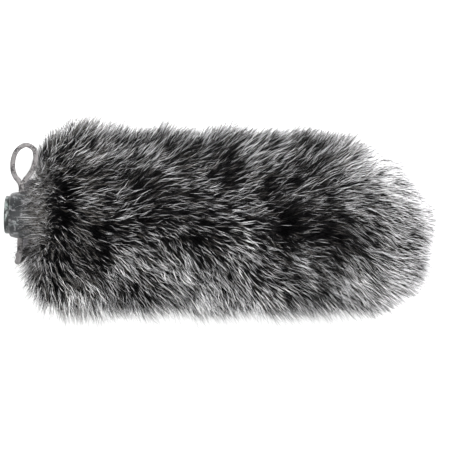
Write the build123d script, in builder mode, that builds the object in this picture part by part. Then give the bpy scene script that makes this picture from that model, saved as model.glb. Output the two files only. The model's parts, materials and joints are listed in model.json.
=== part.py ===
"""Furry slip-on windscreen for a shotgun microphone: a foam core with a blind bore, a sewn long-pile cover over it,
and a drawstring collar closed by a sprung cord lock.

+X runs along the axis from the collar to the nose, +Z is up, and the origin is the centre of the bore's mouth.
Angles round the axis are counted from +Z towards -Y.
"""

from build123d import *
import math
import os

# Foam core
BORE_RADIUS = 9.5
BORE_DEPTH = 150.0
FOAM_RADIUS = 30.0
STRAIGHT_END = 148.0  # where the nose begins to close
FOAM_NOSE = 38.5
FOAM_EDGE = 3.0

# Cover: knitted backing and the pile that stands on it
SEAM_ROOM = 1.5  # between the foam and the backing
BACKING = 1.2
PILE_GAP = 0.1
PILE_RADIUS = 48.0
PILE_NOSE = 54.0
PILE_BASE_DEPTH = 12.0
REST_HEIGHT = 42.0  # from the axis down to the surface that the pile lies on, pressed flat
PANEL_START = 2.0  # where the base panel is sewn to the body panel
SHOULDER_DEPTH = 8.0
SHOULDER_RADIUS = 18.7
PANEL_HOLE = 15.5
PILE_HOLE = 21.7
BASE_ROOTS_ARC = 78.0  # how far round the shoulder the base panel's pile grows

# Seam allowances, folded inwards
SEAM_THICKNESS = 1.0
SEAM_CLEARANCE = 0.2
LONG_SEAM_ARC = 30.0
LONG_SEAM_INSET = 3.0  # from each ring seam's line
RING_SEAM_THICKNESS = 0.8
RING_SEAM_WIDTH = 3.0
NOSE_SEAM_SHIFT = 1.0

# Drawstring casing at the collar
CASING_START = -18.0
CASING_END = -6.0
CASING_INNER = 14.5
CASING_OUTER = 20.5
CASING_WALL = 1.0
CASING_CORNER = 2.4
CHANNEL_CORNER = 1.6
STITCH_COUNT = 44
STITCH_LENGTH = 2.0
STITCH_INSET = 2.8  # the hem's line of stitches, from the casing's sewn end
THREAD_RADIUS = 0.25
THREAD_GAP = 0.06

# Drawstring
CORD_RADIUS = 1.5
STRAND_OFFSET = 1.65  # each strand's distance from the middle of the pair
RING_RADIUS = 17.5
BUTTONHOLE_ANGLE = 42.0
BUTTONHOLE_LENGTH = 7.4
BUTTONHOLE_WIDTH = 3.8
BUTTONHOLE_EDGE = 0.9
BUTTONHOLE_RAISE = 0.4
BUTTONHOLE_PLAY = 0.05
STITCHING_GAP = 0.02  # between the buttonhole's stitching and the casing under it
EXIT_ARC = 22.0  # what each strand follows the ring before it turns out of the buttonhole
FERRULE_ANGLE = 240.0
FERRULE_ARC = 28.0
FERRULE_RADIUS = 1.95
FERRULE_PLAY = 0.02
CORNER_SHARE = 0.45  # of the shorter run beside a corner of the loop, taken by its bend

# Cord lock, its axis parallel to X
LOCK_Y = 1.8
LOCK_Z = 33.0
LOCK_RADIUS = 12.2
BUTTON_FACE = -24.5
BUTTON_RADIUS = 9.8
BUTTON_EDGE = 0.7
BUTTON_REACH = 2.6  # how far the button stands out of the body's rim
DIMPLE_RADIUS = 6.8
DIMPLE_DEPTH = 0.5
DIMPLE_TAPER = 30.0
PRESS = 2.2  # the button's travel
RIM = 3.9
LOCK_END = -6.6
LOCK_FLOOR = 1.4
LOCK_WAIST = 0.9  # how much narrower the barrel is at its rim than at its middle
RIM_CHAMFER = 0.5
END_WAIST = 1.0
END_CHAMFER = 1.6
END_ROUND = 0.6
CAVITY_RADIUS = 10.0
FOOT_THICKNESS = 2.0
CORD_PLAY = 0.05
SLOT_HEIGHT = 6.9
SLOT_CORNER = 1.3
SPRING_RADIUS = 4.2
WIRE_RADIUS = 0.3
SPRING_GAP = 0.05
SPRING_TURNS = 4
SLIDE_IN = 5.0  # along the strands, towards the buttonhole
SLIDE_OUT = 2.0  # towards the loop
LOCK_ROOM = 0.6  # between the lock and the parted pile

# Values that follow
backing_inner = FOAM_RADIUS + SEAM_ROOM
backing_outer = backing_inner + BACKING
pile_inner = backing_outer + PILE_GAP
casing_middle = (CASING_START + CASING_END) / 2
lock_rim = BUTTON_FACE + BUTTON_REACH
slot_start = lock_rim + RIM
slot_length = 2 * (CORD_RADIUS + CORD_PLAY) + PRESS
slot_end = slot_start + slot_length
cord_x = slot_start + CORD_RADIUS + CORD_PLAY
foot_start = cord_x + CORD_RADIUS + CORD_PLAY
foot_end = foot_start + FOOT_THICKNESS
cavity_end = LOCK_END - LOCK_FLOOR
strand_low = LOCK_Z - STRAND_OFFSET
strand_high = LOCK_Z + STRAND_OFFSET
floor_plane = Plane(origin=(0, 0, -REST_HEIGHT), z_dir=(0, 0, 1))

os.makedirs("parts", exist_ok=True)


def around(angle, radius, x):
    """The point at an angle round the axis, counted from +Z towards -Y."""
    turn = math.radians(angle)
    return Vector(x, -radius * math.sin(turn), radius * math.cos(turn))


def half_plane(angle, x):
    """The plane through the axis whose local x is +X and whose local y points out at the angle."""
    turn = math.radians(angle)
    return Plane(origin=(x, 0, 0), x_dir=(1, 0, 0), z_dir=(0, -math.cos(turn), -math.sin(turn)))


def lock_plane(x):
    """The plane across the cord lock's axis at x, with its normal along +X."""
    return Plane(origin=(x, LOCK_Y, LOCK_Z), x_dir=(0, 1, 0), z_dir=(1, 0, 0))


def corner_radii(points):
    """For each corner of a route, the radius whose bend takes up CORNER_SHARE of the shorter run beside it."""
    radii = []
    for before, here, after in zip(points, points[1:], points[2:]):
        arriving = here - before
        leaving = after - here
        shorter = min(arriving.length, leaving.length)
        half_turn = math.radians(arriving.get_angle(leaving)) / 2
        radii.append(CORNER_SHARE * shorter / math.tan(half_turn))
    return radii


# Foam core: open-cell foam, closed at the nose, with the microphone's blind bore
with BuildPart() as foam_core:
    with BuildSketch(Plane.XY):
        with BuildLine():
            nose = EllipticalCenterArc((STRAIGHT_END, 0), FOAM_NOSE, FOAM_RADIUS, 0, arc_size=90)
            Polyline(
                nose @ 1,
                (FOAM_EDGE, FOAM_RADIUS),
                (0, FOAM_RADIUS - FOAM_EDGE),
                (0, BORE_RADIUS),
                (BORE_DEPTH, BORE_RADIUS),
                (BORE_DEPTH, 0),
                nose @ 0,
            )
        make_face()
    revolve(axis=Axis.X)
foam_core.part.label = "foam_core"
export_step(foam_core.part, "parts/foam_core.step")

# Body panel's backing: the fur fabric's knitted ground, rolled into a tube
with BuildPart() as body_backing:
    with BuildSketch(Plane.YZ.offset(PANEL_START)):
        Circle(backing_outer)
        Circle(backing_inner, mode=Mode.SUBTRACT)
    extrude(amount=STRAIGHT_END - PANEL_START)
body_backing.part.label = "body_backing"
export_step(body_backing.part, "parts/body_backing.step")

# Nose panel's backing: a domed disc
with BuildPart() as nose_backing:
    with BuildSketch(Plane.XY):
        with BuildLine():
            outside = EllipticalCenterArc(
                (STRAIGHT_END, 0), FOAM_NOSE + SEAM_ROOM + BACKING, backing_outer, 0, arc_size=90
            )
            inside = EllipticalCenterArc(
                (STRAIGHT_END, 0), FOAM_NOSE + SEAM_ROOM, backing_inner, 0, arc_size=90
            )
            Line(outside @ 0, inside @ 0)
            Line(outside @ 1, inside @ 1)
        make_face()
    revolve(axis=Axis.X)
nose_backing.part.label = "nose_backing"
export_step(nose_backing.part, "parts/nose_backing.step")

# Base panel's backing: a ring gathered in from the body to the drawstring casing
with BuildPart() as base_backing:
    with BuildSketch(Plane.XY):
        with BuildLine():
            shoulder = EllipticalCenterArc(
                (PANEL_START, SHOULDER_RADIUS), SHOULDER_DEPTH, backing_outer - SHOULDER_RADIUS, 90, arc_size=90
            )
            lining = EllipticalCenterArc(
                (PANEL_START, SHOULDER_RADIUS),
                SHOULDER_DEPTH - BACKING,
                backing_inner - SHOULDER_RADIUS,
                90,
                arc_size=90,
            )
            Polyline(
                shoulder @ 1,
                (CASING_END, PANEL_HOLE),
                (CASING_END + BACKING, PANEL_HOLE),
                lining @ 1,
            )
            Line(shoulder @ 0, lining @ 0)
        make_face()
    revolve(axis=Axis.X)
base_backing.part.label = "base_backing"
export_step(base_backing.part, "parts/base_backing.step")

# Pile on the body panel: one soft solid of the fur's mean depth, pressed flat where it lies
with BuildPart() as body_pile:
    with BuildSketch(Plane.YZ.offset(PANEL_START)):
        Circle(PILE_RADIUS)
        Circle(pile_inner, mode=Mode.SUBTRACT)
    extrude(amount=STRAIGHT_END - PANEL_START)
    split(bisect_by=floor_plane, keep=Keep.TOP)
body_pile.part.label = "body_pile"
export_step(body_pile.part, "parts/body_pile.step")

# Pile on the nose panel
with BuildPart() as nose_pile:
    with BuildSketch(Plane.XY):
        with BuildLine():
            outside = EllipticalCenterArc((STRAIGHT_END, 0), PILE_NOSE, PILE_RADIUS, 0, arc_size=90)
            inside = EllipticalCenterArc(
                (STRAIGHT_END, 0), FOAM_NOSE + SEAM_ROOM + BACKING + PILE_GAP, pile_inner, 0, arc_size=90
            )
            Line(outside @ 0, inside @ 0)
            Line(outside @ 1, inside @ 1)
        make_face()
    revolve(axis=Axis.X)
    split(bisect_by=floor_plane, keep=Keep.TOP)
nose_pile.part.label = "nose_pile"
export_step(nose_pile.part, "parts/nose_pile.step")

# Pile on the base panel, parted where the cord lock lies on the collar
lock_room_low = LOCK_Y - SLIDE_IN - LOCK_RADIUS - LOCK_ROOM
lock_room_high = LOCK_Y + SLIDE_OUT + LOCK_RADIUS + LOCK_ROOM
with BuildPart() as base_pile:
    with BuildSketch(Plane.XY):
        with BuildLine():
            tips = EllipticalCenterArc(
                (PANEL_START, PILE_HOLE), PILE_BASE_DEPTH, PILE_RADIUS - PILE_HOLE, 90, arc_size=90
            )
            roots = EllipticalCenterArc(
                (PANEL_START, SHOULDER_RADIUS),
                SHOULDER_DEPTH + PILE_GAP,
                pile_inner - SHOULDER_RADIUS,
                90,
                arc_size=BASE_ROOTS_ARC,
            )
            Line(tips @ 0, roots @ 0)
            Line(tips @ 1, roots @ 1)
        make_face()
    revolve(axis=Axis.X)
    with Locations((LOCK_END + LOCK_ROOM, lock_room_low, LOCK_Z - LOCK_RADIUS - LOCK_ROOM)):
        Box(
            LOCK_END - BUTTON_FACE,
            lock_room_high - lock_room_low,
            PILE_RADIUS,
            align=(Align.MAX, Align.MIN, Align.MIN),
            mode=Mode.SUBTRACT,
        )
    split(bisect_by=floor_plane, keep=Keep.TOP)
base_pile.part.label = "base_pile"
export_step(base_pile.part, "parts/base_pile.step")

# Long seam's allowance, under the body panel
with BuildPart() as long_seam:
    with BuildSketch(half_plane(180 - LONG_SEAM_ARC / 2, 0)):
        with Locations(((PANEL_START + STRAIGHT_END) / 2, FOAM_RADIUS + SEAM_CLEARANCE + SEAM_THICKNESS / 2)):
            Rectangle(STRAIGHT_END - PANEL_START - 2 * LONG_SEAM_INSET, SEAM_THICKNESS)
    revolve(axis=Axis.X, revolution_arc=LONG_SEAM_ARC)
long_seam.part.label = "long_seam"
export_step(long_seam.part, "parts/long_seam.step")

# Ring seams' allowances, at the nose panel and at the base panel
ring_seam_radius = FOAM_RADIUS + SEAM_CLEARANCE + RING_SEAM_THICKNESS / 2
ring_seams = {"nose_seam": STRAIGHT_END + NOSE_SEAM_SHIFT, "base_seam": PANEL_START}
for seam_name, seam_x in ring_seams.items():
    with BuildPart() as ring_seam:
        with BuildSketch(Plane.XY):
            with Locations((seam_x, ring_seam_radius)):
                Rectangle(RING_SEAM_WIDTH, RING_SEAM_THICKNESS)
        revolve(axis=Axis.X)
    ring_seam.part.label = seam_name
    export_step(ring_seam.part, f"parts/{seam_name}.step")

# Drawstring casing: a tube of knitted tape round the collar, with a buttonhole for the strands
with BuildPart() as collar_casing:
    with BuildSketch(Plane.XY):
        with Locations((casing_middle, (CASING_INNER + CASING_OUTER) / 2)):
            RectangleRounded(CASING_END - CASING_START, CASING_OUTER - CASING_INNER, CASING_CORNER)
            RectangleRounded(
                CASING_END - CASING_START - 2 * CASING_WALL,
                CASING_OUTER - CASING_INNER - 2 * CASING_WALL,
                CHANNEL_CORNER,
                mode=Mode.SUBTRACT,
            )
    revolve(axis=Axis.X)
    hole_centre = around(BUTTONHOLE_ANGLE, RING_RADIUS, casing_middle)
    hole_normal = around(BUTTONHOLE_ANGLE, 1, 0)
    hole_plane = Plane(origin=hole_centre, x_dir=(1, 0, 0), z_dir=hole_normal)
    with BuildSketch(hole_plane):
        SlotOverall(BUTTONHOLE_LENGTH, BUTTONHOLE_WIDTH, rotation=90)
    extrude(amount=CASING_OUTER - RING_RADIUS + CASING_WALL, mode=Mode.SUBTRACT)
collar_casing.part.label = "collar_casing"
export_step(collar_casing.part, "parts/collar_casing.step")

# Buttonhole's stitched edge
with BuildPart() as buttonhole_stitching:
    with BuildSketch(hole_plane.offset(CASING_OUTER - RING_RADIUS - CASING_WALL)):
        SlotOverall(BUTTONHOLE_LENGTH + 2 * BUTTONHOLE_EDGE, BUTTONHOLE_WIDTH + 2 * BUTTONHOLE_EDGE, rotation=90)
        SlotOverall(
            BUTTONHOLE_LENGTH + 2 * BUTTONHOLE_PLAY,
            BUTTONHOLE_WIDTH + 2 * BUTTONHOLE_PLAY,
            rotation=90,
            mode=Mode.SUBTRACT,
        )
    extrude(amount=CASING_WALL + BUTTONHOLE_RAISE)
    with Locations((casing_middle, 0, 0)):
        Cylinder(
            CASING_OUTER + STITCHING_GAP,
            2 * (CASING_END - CASING_START),
            rotation=(0, 90, 0),
            mode=Mode.SUBTRACT,
        )
buttonhole_stitching.part.label = "buttonhole_stitching"
export_step(buttonhole_stitching.part, "parts/buttonhole_stitching.step")

# Casing's hem stitches, one solid each
with BuildPart() as casing_stitching:
    with Locations(Plane(origin=(CASING_END - STITCH_INSET, 0, 0), x_dir=(0, 1, 0), z_dir=(1, 0, 0))):
        with PolarLocations(CASING_OUTER + THREAD_RADIUS + THREAD_GAP, STITCH_COUNT):
            Cylinder(THREAD_RADIUS, STITCH_LENGTH, rotation=(90, 0, 0))
casing_stitching.part.label = "casing_stitching"
export_step(casing_stitching.part, "parts/casing_stitching.step")

# Drawstring: the stretch that lies in the casing, from one strand round to the other
offset_angle = math.degrees(STRAND_OFFSET / RING_RADIUS)
ring_start = BUTTONHOLE_ANGLE + offset_angle + EXIT_ARC
ring_end = BUTTONHOLE_ANGLE - offset_angle - EXIT_ARC
with BuildPart() as drawstring:
    with BuildSketch(half_plane(ring_start, casing_middle)):
        with Locations((0, RING_RADIUS)):
            Circle(CORD_RADIUS)
    revolve(axis=Axis.X, revolution_arc=360 - (ring_start - ring_end))
drawstring.part.label = "drawstring"
export_step(drawstring.part, "parts/drawstring.step")

# Ferrule that joins the drawstring's two ends inside the casing
with BuildPart() as cord_ferrule:
    with BuildSketch(half_plane(FERRULE_ANGLE - FERRULE_ARC / 2, casing_middle)):
        with Locations((0, RING_RADIUS)):
            Circle(FERRULE_RADIUS)
            Circle(CORD_RADIUS + FERRULE_PLAY, mode=Mode.SUBTRACT)
    revolve(axis=Axis.X, revolution_arc=FERRULE_ARC)
cord_ferrule.part.label = "cord_ferrule"
export_step(cord_ferrule.part, "parts/cord_ferrule.step")

# Pull loop: out of the buttonhole, over the collar, through the cord lock, round the loop and back beside itself
loop_route = [
    around(ring_start, RING_RADIUS, casing_middle),
    around(BUTTONHOLE_ANGLE + offset_angle, RING_RADIUS, casing_middle),
    Vector(-12.9, -18.8, 18.4),
    Vector(-19.0, -23.6, 26.6),
    Vector(cord_x, -19.8, strand_high),
    Vector(cord_x, 18.0, strand_high),
    Vector(-20.8, 22.4, 34.0),
    Vector(-21.8, 29.0, 32.6),
    Vector(-20.2, 35.4, 31.0),
    Vector(-14.9, 39.2, 29.8),
    Vector(-9.9, 35.6, 29.0),
    Vector(-10.0, 29.4, 29.2),
    Vector(-12.2, 23.4, 30.2),
    Vector(cord_x, 18.4, strand_low),
    Vector(cord_x, -18.4, strand_low),
    Vector(-18.8, -19.6, 25.8),
    Vector(-12.9, -15.3, 19.4),
    around(BUTTONHOLE_ANGLE - offset_angle, RING_RADIUS, casing_middle),
    around(ring_end, RING_RADIUS, casing_middle),
]
loop_radii = corner_radii(loop_route)
print("pull loop radii", [round(radius, 1) for radius in loop_radii])
with BuildPart() as pull_loop:
    with BuildLine():
        loop_path = FilletPolyline(*loop_route, radius=loop_radii)
    with BuildSketch(Plane(origin=loop_path @ 0, z_dir=loop_path % 0)):
        Circle(CORD_RADIUS)
    sweep(path=loop_path)
swept = math.pi * CORD_RADIUS**2 * loop_path.length
print("pull loop length", round(loop_path.length, 1), "volume ratio", round(pull_loop.part.volume / swept, 4))
pull_loop.part.label = "pull_loop"
export_step(pull_loop.part, "parts/pull_loop.step")

# Cord lock's body: a barrel open at the button's end, with a slot across it for both strands
slot_plane = Plane(origin=((slot_start + slot_end) / 2, LOCK_Y, LOCK_Z), x_dir=(1, 0, 0), z_dir=(0, 1, 0))
with BuildPart() as lock_body:
    with BuildSketch(Plane(origin=(0, LOCK_Y, LOCK_Z), x_dir=(1, 0, 0), z_dir=(0, 0, 1))):
        with BuildLine():
            side = ThreePointArc(
                (lock_rim + RIM_CHAMFER, LOCK_RADIUS - LOCK_WAIST),
                ((lock_rim + LOCK_END) / 2, LOCK_RADIUS),
                (LOCK_END - END_CHAMFER, LOCK_RADIUS - END_WAIST),
            )
            Polyline(
                side @ 0,
                (lock_rim, LOCK_RADIUS - LOCK_WAIST - RIM_CHAMFER),
                (lock_rim, CAVITY_RADIUS),
                (cavity_end, CAVITY_RADIUS),
                (cavity_end, 0),
                (LOCK_END, 0),
                (LOCK_END, LOCK_RADIUS - END_WAIST - END_CHAMFER),
                side @ 1,
            )
        make_face()
    revolve(axis=Axis(origin=(0, LOCK_Y, LOCK_Z), direction=(1, 0, 0)))
    with BuildSketch(slot_plane):
        RectangleRounded(slot_length, SLOT_HEIGHT, SLOT_CORNER)
    extrude(amount=2 * LOCK_RADIUS, both=True, mode=Mode.SUBTRACT)
    end_edges = lock_body.edges().filter_by(GeomType.CIRCLE).group_by(Axis.X)[-1]
    fillet(end_edges, END_ROUND)
lock_body.part.label = "lock_body"
export_step(lock_body.part, "parts/lock_body.step")

# Cord lock's plunger: a round button whose slot pinches the strands against the body's slot
with BuildPart() as lock_plunger:
    with BuildSketch(lock_plane(BUTTON_FACE)):
        Circle(BUTTON_RADIUS)
    extrude(amount=foot_end - BUTTON_FACE)
    fillet(lock_plunger.edges(), BUTTON_EDGE)
    with BuildSketch(slot_plane):
        with Locations((foot_start - slot_end, 0)):
            RectangleRounded(slot_length, SLOT_HEIGHT, SLOT_CORNER)
    extrude(amount=LOCK_RADIUS, both=True, mode=Mode.SUBTRACT)
    with BuildSketch(lock_plane(BUTTON_FACE)):
        Circle(DIMPLE_RADIUS)
    extrude(amount=DIMPLE_DEPTH, taper=DIMPLE_TAPER, mode=Mode.SUBTRACT)
lock_plunger.part.label = "lock_plunger"
export_step(lock_plunger.part, "parts/lock_plunger.step")

# Cord lock's spring, between the plunger's foot and the body's floor
spring_start = foot_end + WIRE_RADIUS + SPRING_GAP
spring_length = cavity_end - WIRE_RADIUS - SPRING_GAP - spring_start
with BuildPart() as lock_spring:
    with BuildLine():
        coil = Helix(
            pitch=spring_length / SPRING_TURNS,
            height=spring_length,
            radius=SPRING_RADIUS,
            center=(spring_start, LOCK_Y, LOCK_Z),
            direction=(1, 0, 0),
        )
    with BuildSketch(Plane(origin=coil @ 0, z_dir=coil % 0)):
        Circle(WIRE_RADIUS)
    sweep(path=coil, is_frenet=True)
lock_spring.part.label = "lock_spring"
export_step(lock_spring.part, "parts/lock_spring.step")
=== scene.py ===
"""Looks of the furry windscreen: fur, knitted cover, gathered collar, braided cord, cord lock, foam, studio.

Sizes are metres in the frame's own axes: +X from the collar to the nose, +Z up.
"""

import json
import math
from collections import namedtuple

import bpy
import numpy as np
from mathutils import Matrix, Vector
from mathutils.kdtree import KDTree


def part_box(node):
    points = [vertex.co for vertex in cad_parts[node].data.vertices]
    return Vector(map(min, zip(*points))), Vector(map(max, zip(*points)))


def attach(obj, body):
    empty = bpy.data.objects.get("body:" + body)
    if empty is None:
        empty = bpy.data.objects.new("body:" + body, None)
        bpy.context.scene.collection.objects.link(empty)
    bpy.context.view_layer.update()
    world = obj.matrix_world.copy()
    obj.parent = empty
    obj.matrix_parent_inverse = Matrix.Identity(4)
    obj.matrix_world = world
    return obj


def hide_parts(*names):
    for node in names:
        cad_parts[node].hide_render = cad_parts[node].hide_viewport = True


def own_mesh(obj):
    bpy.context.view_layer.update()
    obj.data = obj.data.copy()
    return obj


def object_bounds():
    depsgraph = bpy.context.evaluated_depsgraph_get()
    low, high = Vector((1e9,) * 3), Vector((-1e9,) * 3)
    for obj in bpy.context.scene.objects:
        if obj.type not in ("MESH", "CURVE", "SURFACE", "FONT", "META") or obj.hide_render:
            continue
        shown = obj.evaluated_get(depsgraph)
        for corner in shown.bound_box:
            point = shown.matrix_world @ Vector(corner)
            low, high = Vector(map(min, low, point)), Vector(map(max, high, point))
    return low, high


MM = 0.001
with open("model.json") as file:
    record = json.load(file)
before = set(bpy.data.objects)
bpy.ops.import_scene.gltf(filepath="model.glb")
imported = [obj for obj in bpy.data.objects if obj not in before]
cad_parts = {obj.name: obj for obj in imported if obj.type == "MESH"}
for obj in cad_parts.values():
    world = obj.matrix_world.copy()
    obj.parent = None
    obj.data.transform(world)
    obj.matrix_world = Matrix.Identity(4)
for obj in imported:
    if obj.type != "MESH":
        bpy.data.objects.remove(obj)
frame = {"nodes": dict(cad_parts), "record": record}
cad_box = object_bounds()
scene = bpy.context.scene

# Sizes that come from the frame
body_low, body_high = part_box("body_backing")
base_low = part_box("base_backing")[0]
nose_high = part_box("nose_backing")[1]
casing_low, casing_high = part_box("collar_casing")
foam_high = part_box("foam_core")[1]
lock_low, lock_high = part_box("lock_body")
button_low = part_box("lock_plunger")[0]
skin_radius = body_high.z
floor_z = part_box("body_pile")[0].z
lock_y = (lock_low.y + lock_high.y) / 2
lock_z = (lock_low.z + lock_high.z) / 2
lock_radius = (lock_high.z - lock_low.z) / 2
joints = {joint["name"]: joint for joint in frame["record"]["behaviour"]["joints"]}
slide_low, slide_high = joints["lock_slide"]["range_m"]
mic_bore = next(mount for mount in frame["record"]["mounts"] if mount["name"] == "mic_bore")
bore_radius = mic_bore["dims"]["r_mm"] * MM
bore_depth = mic_bore["dims"]["length_mm"] * MM

# The room that hair may stand out into: the CAD model's box, with a share of each side and a margin
ROOM_SHARE = 0.03
ROOM_MARGIN = 9 * MM
room_low = np.array([a - (b - a) * ROOM_SHARE - ROOM_MARGIN for a, b in zip(*cad_box)])
room_high = np.array([b + (b - a) * ROOM_SHARE + ROOM_MARGIN for a, b in zip(*cad_box)])

# Sizes that the CAD model has too
SHOULDER_RADIUS = 18.7 * MM  # where the base panel's curve begins
BACKING = 1.2 * MM
COLLAR_HOLE = 15.5 * MM
FOAM_STRAIGHT_END = 148.0 * MM
FOAM_EDGE = 3.0 * MM
CASING_INNER = 14.5 * MM
STITCH_COUNT = 44
STITCH_INSET = 2.8 * MM
BUTTONHOLE_ANGLE = 42.0
CORD_DIAMETER = 3.0 * MM
WIRE_RADIUS = 0.3 * MM


# ---------------------------------------------------------------- camera, light and floor


def make_camera():
    """A long lens straight above the object, rolled a little as the object lies in the view."""
    data = bpy.data.cameras.new("camera")
    data.lens = 180
    data.sensor_width = 36
    camera = bpy.data.objects.new("camera", data)
    scene.collection.objects.link(camera)
    view_width = 0.234
    view_plane = 0.028
    distance = view_width / 2 / math.tan(math.atan(data.sensor_width / 2 / data.lens))
    camera.location = (0.0893, -0.0004, view_plane + distance)
    camera.rotation_euler = (0, 0, math.radians(1.6))
    scene.camera = camera


def area_light(name, place, size, power):
    """A square soft box that looks at the middle of the object."""
    data = bpy.data.lights.new(name, "AREA")
    data.shape = "SQUARE"
    data.size = size
    data.energy = power
    light = bpy.data.objects.new(name, data)
    light.location = place
    light.rotation_euler = (Vector((0.09, 0, 0)) - Vector(place)).to_track_quat("-Z", "Y").to_euler()
    scene.collection.objects.link(light)


def make_studio():
    """A pale floor, a white surround and three soft boxes."""
    world = bpy.data.worlds.new("world")
    scene.world = world
    world.use_nodes = True
    background = world.node_tree.nodes["Background"]
    background.inputs["Color"].default_value = (1, 1, 1, 1)
    background.inputs["Strength"].default_value = 0.72
    area_light("key", (0.60, 0.35, 0.70), 0.30, 24.5)
    area_light("fill", (-0.45, -0.45, 0.60), 0.6, 4.0)
    area_light("above", (0.09, 0.0, 0.90), 0.8, 8.0)
    scene.view_settings.view_transform = "Standard"
    mesh = bpy.data.meshes.new("floor")
    half = 3.0
    z = floor_z - 0.2 * MM
    corners = [(-half, -half, z), (half, -half, z), (half, half, z), (-half, half, z)]
    mesh.from_pydata(corners, [], [(0, 1, 2, 3)])
    floor = bpy.data.objects.new("floor", mesh)
    scene.collection.objects.link(floor)
    mesh.materials.append(plain_material("floor_paper", (0.93, 0.93, 0.93), 0.9))


# ---------------------------------------------------------------- material helpers


def plain_material(name, colour, roughness, **uniform):
    """A Principled material whose uniform values are set on the shader's own sockets."""
    material = bpy.data.materials.new(name)
    material.use_nodes = True
    sockets = material.node_tree.nodes["Principled BSDF"].inputs
    sockets["Base Color"].default_value = (*colour, 1)
    sockets["Roughness"].default_value = roughness
    for key, value in uniform.items():
        sockets[key.replace("_", " ")].default_value = value
    return material


class Nodes:
    """A short way to add and link nodes in one material."""

    def __init__(self, material):
        self.tree = material.node_tree
        self.shader = self.tree.nodes["Principled BSDF"]

    def add(self, kind, settings=None, **inputs):
        node = self.tree.nodes.new(kind)
        for key, value in (settings or {}).items():
            setattr(node, key, value)
        for key, value in inputs.items():
            self.put(node, key.replace("_", " "), value)
        return node

    def put(self, node, key, value):
        socket = node.inputs[int(key)] if key.isdigit() else node.inputs[key]
        if isinstance(value, bpy.types.NodeSocket):
            self.tree.links.new(value, socket)
        else:
            socket.default_value = value

    def math(self, operation, a, b=0.0):
        node = self.add("ShaderNodeMath", {"operation": operation})
        self.put(node, "0", a)
        self.put(node, "1", b)
        return node.outputs[0]

    def span(self, value, low, high, to_low=0.0, to_high=1.0, smooth=True):
        node = self.add("ShaderNodeMapRange", {"interpolation_type": "SMOOTHSTEP" if smooth else "LINEAR"})
        for key, item in (("0", value), ("1", low), ("2", high), ("3", to_low), ("4", to_high)):
            self.put(node, key, item)
        return node.outputs[0]

    def mix(self, share, a, b):
        node = self.add("ShaderNodeMix", {"data_type": "RGBA"})
        self.put(node, "0", share)
        for key, item in (("6", a), ("7", b)):
            self.put(node, key, (*item, 1) if isinstance(item, tuple) and len(item) == 3 else item)
        return node.outputs[2]

    def noise(self, scale, detail=3.0, roughness=0.6, vector=None):
        node = self.add("ShaderNodeTexNoise", Scale=scale, Detail=detail, Roughness=roughness)
        self.put(node, "Vector", vector or self.place())
        return node.outputs["Fac"]

    def place(self):
        """Object coordinates, which are metres in the row frame."""
        return self.add("ShaderNodeTexCoord").outputs["Object"]

    def bump(self, height, strength, distance):
        node = self.add("ShaderNodeBump", Strength=strength, Distance=distance, Height=height)
        self.tree.links.new(node.outputs["Normal"], self.shader.inputs["Normal"])

    def colour(self, value):
        self.tree.links.new(value, self.shader.inputs["Base Color"])


def new_object(name, mesh, body, material):
    """A piece in the scene, riding on its body."""
    piece = bpy.data.objects.new(name, mesh)
    scene.collection.objects.link(piece)
    mesh.materials.append(material)
    mesh.polygons.foreach_set("use_smooth", [True] * len(mesh.polygons))
    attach(piece, body)
    return piece


# ---------------------------------------------------------------- fur

TONES = 32  # the tones that hairs come in, side by side in the hair's UV map
HAIR_UV = "OFBake"  # u is the hair's tone and side, v runs from root to tip
HAIR_SIDES = 3
PIECE_HAIRS = 8800
REGIONS = (("base", "base_pile"), ("body", "body_pile"), ("nose", "nose_pile"))
TIP_COLOURS = (  # from the lightest tone to the darkest
    (0.0, (0.92, 0.92, 0.91)),
    (0.16, (0.70, 0.70, 0.712)),
    (0.30, (0.42, 0.42, 0.432)),
    (0.39, (0.16, 0.147, 0.130)),
    (0.47, (0.030, 0.029, 0.030)),
    (1.0, (0.0040, 0.0040, 0.0044)),
)
BROWN_TONES = (0.34, 0.42)  # the tones that look brown, seen near the collar
BROWN_SHARE = 0.30
ROOT_COLOUR = (0.0022, 0.0022, 0.0025)

# Steps of an evenly spreading sequence, along the outline and round the axis
STEP_ALONG = 0.7548776662466927
STEP_ROUND = 0.5698402909980532
KEPT_BELOW = 0.55  # the share of the places underneath that is kept

# How far the pile leans towards the nose, in degrees, at places along the cover: on its top, just beside
# the top on the loop's side, and down both sides
LEAN_AT = (base_low.x, body_low.x, 12 * MM, 30 * MM, 120 * MM, body_high.x, 165 * MM, 180 * MM, nose_high.x)
TOP_LEAN = (56, 50, 46, 40, 38, 48, 50, 34, 6)
UPPER_LEAN = (52, 50, 56, 60, 57, 55, 50, 34, 6)
SIDE_LEAN = (18, 3, 20, 34, 40, 50, 52, 34, 6)

# Changes along the cover, as the place where one starts and its length
DROOPING = (135 * MM, 50 * MM)
FINER = (105 * MM, 55 * MM)
SOFTER = (110 * MM, 60 * MM)  # where the lightest tones fade out
# Where the hairs start to turn paler towards the nose: partly their own paler tone, partly painted light
# where the key light falls on the nose end
PALER_FROM = 100 * MM
DENSER_FROM = 118 * MM
DROOP = np.array([0.12, -0.42, -0.08])
LOOP_SIDE = 13 * MM  # the y from which the hairs at the collar stand back beside the loop

BARE_SPOTS = (  # x, y and reach of the hollows that the hairs turn away from, round which their tones are also painted darker as painted shade
    (114 * MM, 1 * MM, 6.5 * MM),
    (80 * MM, 17 * MM, 4.5 * MM),
    (103 * MM, 15 * MM, 4.5 * MM),
)
TONE_PATCHES = (  # x, y, reach and shift of the lighter and darker stretches of the coat
    (18 * MM, -2 * MM, 15 * MM, 0.12),
    (56 * MM, -3 * MM, 18 * MM, -0.14),
    (50 * MM, 27 * MM, 28 * MM, 0.07),
    (100 * MM, 24 * MM, 30 * MM, 0.08),
    (150 * MM, -2 * MM, 20 * MM, 0.20),
    (150 * MM, -30 * MM, 22 * MM, 0.07),
    (164 * MM, 26 * MM, 22 * MM, -0.13),
)

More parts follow.
